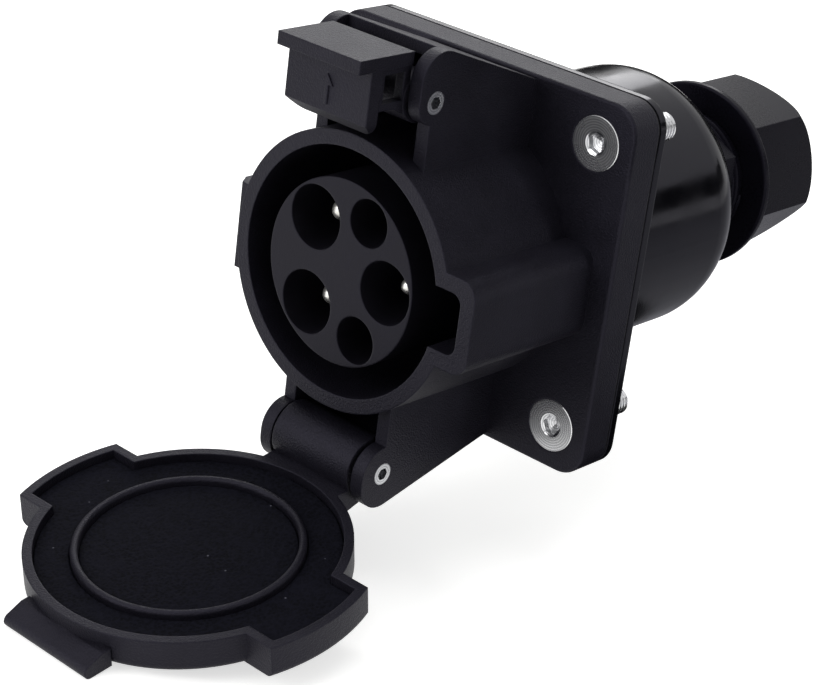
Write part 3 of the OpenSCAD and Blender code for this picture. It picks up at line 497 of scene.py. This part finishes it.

# %% [markdown]
# ## Foam
# The lid is lined with a black sponge: closed-cell foam cut from a sheet, so its face is full of small
# open cells. Two things make it look like foam: a mesh fine enough to carry real pits, and a dull
# surface with shade painted into its cells, darkest at their middles. A little dust and a few pale specks
# lie on it.

# %% Foam material
# Real cells are about half as wide. They are drawn coarser, so that they show.
CELL_MM, CELL_DEPTH_MM, CELL_STRENGTH = 0.6, 0.12, 0.7
DUST_MM, SPECK_MM = 6, 6
foam, tree = new_tree("neoprene_foam_cut")
where = add(tree, "ShaderNodeTexCoord").outputs["Object"]
cells = add(tree, "ShaderNodeTexVoronoi", {"Vector": where, "Scale": 1 / (CELL_MM * MM)}, feature="F1")
dust = add(tree, "ShaderNodeTexNoise", {"Vector": where, "Scale": 1 / (DUST_MM * MM), "Detail": 7})
specks = add(tree, "ShaderNodeTexVoronoi", {"Vector": where, "Scale": 1 / (SPECK_MM * MM)}, feature="F1")
# Painted shade: each cell's colour darkens towards its middle, as the shade in a pit would.
pits = add(tree, "ShaderNodeMapRange", {
    "Value": cells.outputs["Distance"], "From Min": 0.15, "From Max": 0.7, "To Min": 1, "To Max": 0})
tone = add(tree, "ShaderNodeMix", {
    "Factor": pits.outputs["Result"], "A": linear("#0e0e16"), "B": linear("#030306")}, data_type="RGBA")
dusty = add(tree, "ShaderNodeMapRange", {
    "Value": dust.outputs["Fac"], "From Min": 0.45, "From Max": 0.8, "To Max": 0.6})
colour = add(tree, "ShaderNodeMix", {
    "Factor": dusty.outputs["Result"], "A": tone.outputs["Result"],
    "B": linear("#11111a")}, data_type="RGBA")
grit = add(tree, "ShaderNodeMapRange", {
    "Value": specks.outputs["Distance"], "From Min": 0.018, "From Max": 0.033, "To Min": 1, "To Max": 0})
speckled = add(tree, "ShaderNodeMix", {
    "Factor": grit.outputs["Result"], "A": colour.outputs["Result"],
    "B": linear("#5c5c66")}, data_type="RGBA")
relief = add(tree, "ShaderNodeBump", {
    "Height": cells.outputs["Distance"], "Strength": CELL_STRENGTH, "Distance": CELL_DEPTH_MM * MM})
skin = add(tree, "ShaderNodeBsdfPrincipled", {
    "Base Color": speckled.outputs["Result"], "Roughness": 0.85, "Normal": relief.outputs["Normal"],
    "IOR": 1.5, "Specular IOR Level": 0.06})
add(tree, "ShaderNodeOutputMaterial", {"Surface": skin.outputs["BSDF"]})
print("made", foam.name)

# %% [markdown]
# ## How foam is shaped
# The foam is drawn where it lies when the lid is shut, in the axes of the CAD source: x to the side,
# y up, z to the front. One matrix then turns it into the frame, and another swings it open about the
# lid's pin, as far as the lid's joint goes. Rings and discs are spun from a small section.

# %% Foam section
LID_OPEN_DEG = joints["lid_swing"]["range_deg"][1]
FOAM_FACE_MM, FOAM_BACK_MM = 40.1, 42.2
INTO_FRAME = Matrix.Rotation(math.radians(90), 4, "X")
SWING_OPEN = (Matrix.Translation(LID_PIN) @ Matrix.Rotation(math.radians(LID_OPEN_DEG), 4, "X")
              @ Matrix.Translation(-LID_PIN))


def spun_section(bm, inner_mm, outer_mm, start, sweep, steps):
    """Spins a flat section between two radii about the socket's axis, from a start angle."""
    low, high = FOAM_FACE_MM * MM, FOAM_BACK_MM * MM
    corners = [(inner_mm, low), (outer_mm, low), (outer_mm, high), (inner_mm, high)]
    verts = [bm.verts.new((r * MM, 0, z)) for r, z in corners]
    face = bm.faces.new(verts)
    bmesh.ops.rotate(bm, verts=verts, matrix=Matrix.Rotation(start, 3, "Z"))
    bmesh.ops.spin(bm, geom=[face, *face.edges, *verts], axis=(0, 0, 1), angle=sweep, steps=steps,
                   use_merge=sweep >= FULL_TURN)


print("foam is", round(FOAM_BACK_MM - FOAM_FACE_MM, 1), "mm thick")

# %% [markdown]
# ## The foam's skin
# Real foam has no sharp edges and no flat faces. A voxel remesh joins what was drawn and gives an even
# skin of small faces, which is smoothed once. Each point of it then sinks by a noise of two widths, and
# that makes the pits.

# %% Foam skin
VOXEL_MM = 0.3
PIT_MM, PIT_WIDE_MM, FINE_PIT_WIDE_MM, FINE_PIT_SHARE = 0.12, 0.7, 0.35, 0.6
SMOOTHING = 0.5
MERGE_M = 1e-6


def even_skin(piece):
    """Replaces an object's mesh by its voxel remesh, and returns that."""
    skinner = piece.modifiers.new("even_skin", "REMESH")
    skinner.mode = "VOXEL"
    skinner.voxel_size = VOXEL_MM * MM
    depsgraph = bpy.context.evaluated_depsgraph_get()
    skinned = bpy.data.meshes.new_from_object(piece.evaluated_get(depsgraph))
    piece.modifiers.clear()
    piece.data = skinned
    return skinned


def foam_piece(name, bm, node):
    """Remeshes a drawn foam shape, pits its skin and puts it in place of a CAD node."""
    bmesh.ops.remove_doubles(bm, verts=bm.verts, dist=MERGE_M)
    bmesh.ops.recalc_face_normals(bm, faces=bm.faces)
    piece = mesh_object(name, bm, foam)
    skinned = even_skin(piece)
    bm = bmesh.new()
    bm.from_mesh(skinned)
    bmesh.ops.smooth_vert(bm, verts=bm.verts, factor=SMOOTHING,
                          use_axis_x=True, use_axis_y=True, use_axis_z=True)
    bm.normal_update()
    for v in bm.verts:
        wide = noise.noise(v.co / (PIT_WIDE_MM * MM))
        fine = noise.noise(v.co / (FINE_PIT_WIDE_MM * MM))
        v.co -= v.normal * PIT_MM * MM * max(0, wide + FINE_PIT_SHARE * fine)
    bmesh.ops.transform(bm, matrix=SWING_OPEN @ INTO_FRAME, verts=bm.verts)
    bm.to_mesh(skinned)
    bm.free()
    for polygon in skinned.polygons:
        polygon.use_smooth = True
    skinned.materials.clear()
    skinned.materials.append(foam)
    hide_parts(node)
    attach(piece, "lid")
    print(name, len(skinned.polygons), "faces")


print("pits go", PIT_MM, "mm deep in a skin of", VOXEL_MM, "mm faces")

# %% [markdown]
# ## Cut the foam
# A disc fills the lid's raised ring, and a wider ring lies round it. That ring has an ear on each side.
# An ear is a wider spin that two planes trim to parallel sides, and the remesh joins it to the ring.

# %% Foam disc and ring
FOAM_DISC_MM, FOAM_IN_MM, FOAM_OUT_MM = 18.5, 20.1, 26.1
EAR_INSET_MM, EAR_OUT_MM, EAR_HALF_MM = 1, 31.4, 9.2
EAR_SWEEP = math.radians(60)
ROUND_STEPS, EAR_STEPS = 96, 24

bm = bmesh.new()
spun_section(bm, 0, FOAM_DISC_MM, 0, FULL_TURN, ROUND_STEPS)
foam_piece("foam_disc", bm, "lid_seal_disc")

bm = bmesh.new()
spun_section(bm, FOAM_IN_MM, FOAM_OUT_MM, 0, FULL_TURN, ROUND_STEPS)
for side in (0, math.pi):
    ear = bmesh.new()
    spun_section(ear, FOAM_IN_MM + EAR_INSET_MM, EAR_OUT_MM, side - EAR_SWEEP / 2, EAR_SWEEP, EAR_STEPS)
    for sign in (-1, 1):
        bmesh.ops.bisect_plane(ear, geom=[*ear.verts, *ear.edges, *ear.faces], clear_outer=True,
                               plane_co=(0, sign * EAR_HALF_MM * MM, 0), plane_no=(0, sign, 0))
    bmesh.ops.holes_fill(ear, edges=ear.edges)
    ear_mesh = bpy.data.meshes.new("ear_cut")
    ear.to_mesh(ear_mesh)
    ear.free()
    bm.from_mesh(ear_mesh)
    bpy.data.meshes.remove(ear_mesh)
foam_piece("foam_ring", bm, "lid_seal_ring")

# %% [markdown]
# ## Lines, threads and placing
# Turned pieces start as a line of points that is spun. A thread is a small triangle spun along the
# axis, and the spin's shift is given per step. Every rigid piece is drawn in the axes of the CAD source
# too, so one function turns it into the frame and hands it to a body.

# %% Piece helpers
RIDGE_SHARE = 0.38
SPIN_STEPS = 48


def line_of_points(bm, points_mm):
    """A line of (radius, height) points in the plane of x and z, ready to spin. Returns its geometry."""
    verts = [bm.verts.new((r * MM, 0, z * MM)) for r, z in points_mm]
    return verts + [bm.edges.new(pair) for pair in zip(verts, verts[1:])]


def add_thread(bm, radius_mm, high_mm, pitch_mm, top_mm, turns, steps):
    """A ridge wound about z, going down from the top, half sunk in its shank."""
    half = pitch_mm * RIDGE_SHARE
    root, crest = radius_mm - high_mm / 2, radius_mm + high_mm / 2
    first = line_of_points(bm, [(root, top_mm - half), (crest, top_mm), (root, top_mm + half)])
    first.append(bm.edges.new((first[0], first[2])))
    made = bmesh.ops.spin(bm, geom=first, axis=(0, 0, 1), angle=FULL_TURN * turns, steps=steps * turns,
                          dvec=(0, 0, -pitch_mm * MM / steps))
    bm.faces.new(first[:3])
    bm.faces.new([v for v in made["geom_last"] if isinstance(v, bmesh.types.BMVert)])


def settle_faces(bm):
    """Sorts the faces by their points, because a spin makes them in another order each run."""
    bm.verts.index_update()
    count = len(bm.verts)

    def rank(face):
        first, second, third = sorted(v.index for v in face.verts)[:3]
        return (first * count + second) * count + third

    bm.faces.sort(key=rank)


def place_piece(name, bm, body, finish, node=None):
    """Turns a drawn shape into the frame, gives it a finish and a body, and hides the node it replaces."""
    bmesh.ops.recalc_face_normals(bm, faces=bm.faces)
    bmesh.ops.transform(bm, matrix=INTO_FRAME, verts=bm.verts)
    settle_faces(bm)
    piece = mesh_object(name, bm, finish)
    if node:
        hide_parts(node)
    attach(piece, body)
    print(name, len(piece.data.polygons), "faces")


print("turned pieces are spun in", SPIN_STEPS, "steps")

# %% [markdown]
# ## A screw with a real head and thread
# The solid screws are plain. Here one screw is drawn in full. Its section is a line of points from the
# hex socket over the slightly dished head, round its rim and down the cone and the shank to the tip.
# Spinning that line makes the screw. A hexagon with as many points as the spin has steps is bridged to
# the head, pushed in for the key and closed by the cone that a drill leaves.

# %% One screw
SCREW_LEN_MM, HEAD_MM, SHANK_MM = 20, 5.0, 2.5
KEY_MM, KEY_SINK_MM, KEY_DEPTH_MM, DRILL_MM = 3.2, 0.35, 1.1, 0.5
FACE_IN_MM, DISH_MM, RIM_MM, TIP_MM = 2.2, 0.1, 0.25, 0.4
THREAD_PITCH_MM, THREAD_HIGH_MM, THREAD_FROM_MM = 0.8, 0.22, 13.9

one = bmesh.new()
section = [(FACE_IN_MM, -DISH_MM), (HEAD_MM - RIM_MM, 0)]
section += [(HEAD_MM, -RIM_MM), (SHANK_MM, -RIM_MM - HEAD_MM + SHANK_MM)]
section += [(SHANK_MM, TIP_MM - SCREW_LEN_MM), (SHANK_MM - TIP_MM, -SCREW_LEN_MM), (0, -SCREW_LEN_MM)]
bmesh.ops.spin(one, geom=line_of_points(one, section), axis=(0, 0, 1), angle=FULL_TURN, steps=SPIN_STEPS,
               use_merge=True)
bmesh.ops.remove_doubles(one, verts=one.verts, dist=MERGE_M)
mouth = [e for e in one.edges if e.is_boundary]
hexagon = bmesh.ops.create_circle(one, segments=6, radius=KEY_MM / math.sqrt(3) * MM)
bmesh.ops.translate(one, verts=hexagon["verts"], vec=(0, 0, -KEY_SINK_MM * MM))
sides = [e for e in one.edges if not e.link_faces]
bmesh.ops.subdivide_edges(one, edges=sides, cuts=SPIN_STEPS // 6 - 1)
key = [e for e in one.edges if not e.link_faces]
bmesh.ops.bridge_loops(one, edges=mouth + key)
walls = bmesh.ops.extrude_edge_only(one, edges=key)["geom"]
deep = [g for g in walls if isinstance(g, bmesh.types.BMVert)]
bmesh.ops.translate(one, verts=deep, vec=(0, 0, -KEY_DEPTH_MM * MM))
bottom = bmesh.ops.extrude_edge_only(one, edges=[e for e in one.edges if e.is_boundary])["geom"]
point = [g for g in bottom if isinstance(g, bmesh.types.BMVert)]
bmesh.ops.pointmerge(one, verts=point, merge_co=(0, 0, -(KEY_SINK_MM + KEY_DEPTH_MM + DRILL_MM) * MM))
turns = int((SCREW_LEN_MM - THREAD_FROM_MM - TIP_MM) / THREAD_PITCH_MM)
add_thread(one, SHANK_MM, THREAD_HIGH_MM, THREAD_PITCH_MM, -THREAD_FROM_MM, turns, SPIN_STEPS // 2)
one_screw = bpy.data.meshes.new("one_screw")
one.to_mesh(one_screw)
one.free()
print("one screw has", len(one_screw.polygons), "faces and", turns, "turns of thread")

# %% [markdown]
# ## Four screws
# The screw is copied to the flange's four corners. Hands don't line up screws, so each copy is turned
# by an angle of its own.

# %% Screws
FRONT_MM = 8.7
KEY_TURNS_DEG = {(1, 1): 12, (-1, 1): 40, (1, -1): 27, (-1, -1): 51}
bm = bmesh.new()
for (side, up), angle in KEY_TURNS_DEG.items():
    before = len(bm.verts)
    bm.from_mesh(one_screw)
    bm.verts.ensure_lookup_table()
    place = Vector((side * SCREW_PITCH_MM / 2, up * SCREW_PITCH_MM / 2, FRONT_MM)) * MM
    bmesh.ops.transform(bm, verts=bm.verts[before:],
                        matrix=Matrix.Translation(place) @ Matrix.Rotation(math.radians(angle), 4, "Z"))
bpy.data.meshes.remove(one_screw)
place_piece("turned_screws", bm, "inlet", steel, "flange_screws")

# %% [markdown]
# ## The gland's thread
# Between the gland's base and its cap nut a few turns of the neck's thread show. Here a turn is
# coarse, as on every plastic gland.

# %% Gland thread
NECK_MM, NECK_RIDGE_MM = 13.2, 0.7
NECK_FROM_MM, NECK_PITCH_MM, NECK_TURNS = -56.9, 1.5, 3
bm = bmesh.new()
add_thread(bm, NECK_MM, NECK_RIDGE_MM, NECK_PITCH_MM, NECK_FROM_MM, NECK_TURNS, SPIN_STEPS * 2)
place_piece("gland_thread", bm, "inlet", gland_nylon)

# %% [markdown]
# ## A mark on the latch
# The latch carries a small raised arrow that shows which way to lift it. Its outline is drawn as one
# flat face a little inside the latch, pushed out until it stands a quarter of a millimetre proud, and
# rounded along the rim.

# %% Arrow
ARROW_MM = [(-0.4, -2.6), (0.4, -2.6), (0.4, 0.7), (1.35, 0.7), (0, 2.6), (-1.35, 0.7), (-0.4, 0.7)]
ARROW_UP_MM, LATCH_FACE_MM = 34.1, 47.8
ARROW_HIGH_MM, ARROW_ROUND_MM = 0.25, 0.09
bm = bmesh.new()
base_mm = LATCH_FACE_MM - ARROW_HIGH_MM
outline = bm.faces.new([bm.verts.new(Vector((x, y + ARROW_UP_MM, base_mm)) * MM) for x, y in ARROW_MM])
raised = bmesh.ops.extrude_face_region(bm, geom=[outline])["geom"]
top_verts = [g for g in raised if isinstance(g, bmesh.types.BMVert)]
bmesh.ops.translate(bm, verts=top_verts, vec=(0, 0, 2 * ARROW_HIGH_MM * MM))
rim = [g for g in raised if isinstance(g, bmesh.types.BMEdge)]
bmesh.ops.bevel(bm, geom=rim, offset=ARROW_ROUND_MM * MM, offset_type="OFFSET", affect="EDGES", segments=2,
                profile=0.5, material=-1)
place_piece("latch_arrow", bm, "latch", nylon)

# %% [markdown]
# ## The last line
# The box of the dressed object is measured, and how much it grew past the box of the solids is
# printed.

# %% Sizes and finish
dressed_low, dressed_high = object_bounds()
growth = (dressed_high - dressed_low) - (cad_high - cad_low)
print("dressed box grew by", [round(side / MM, 2) for side in growth], "mm")
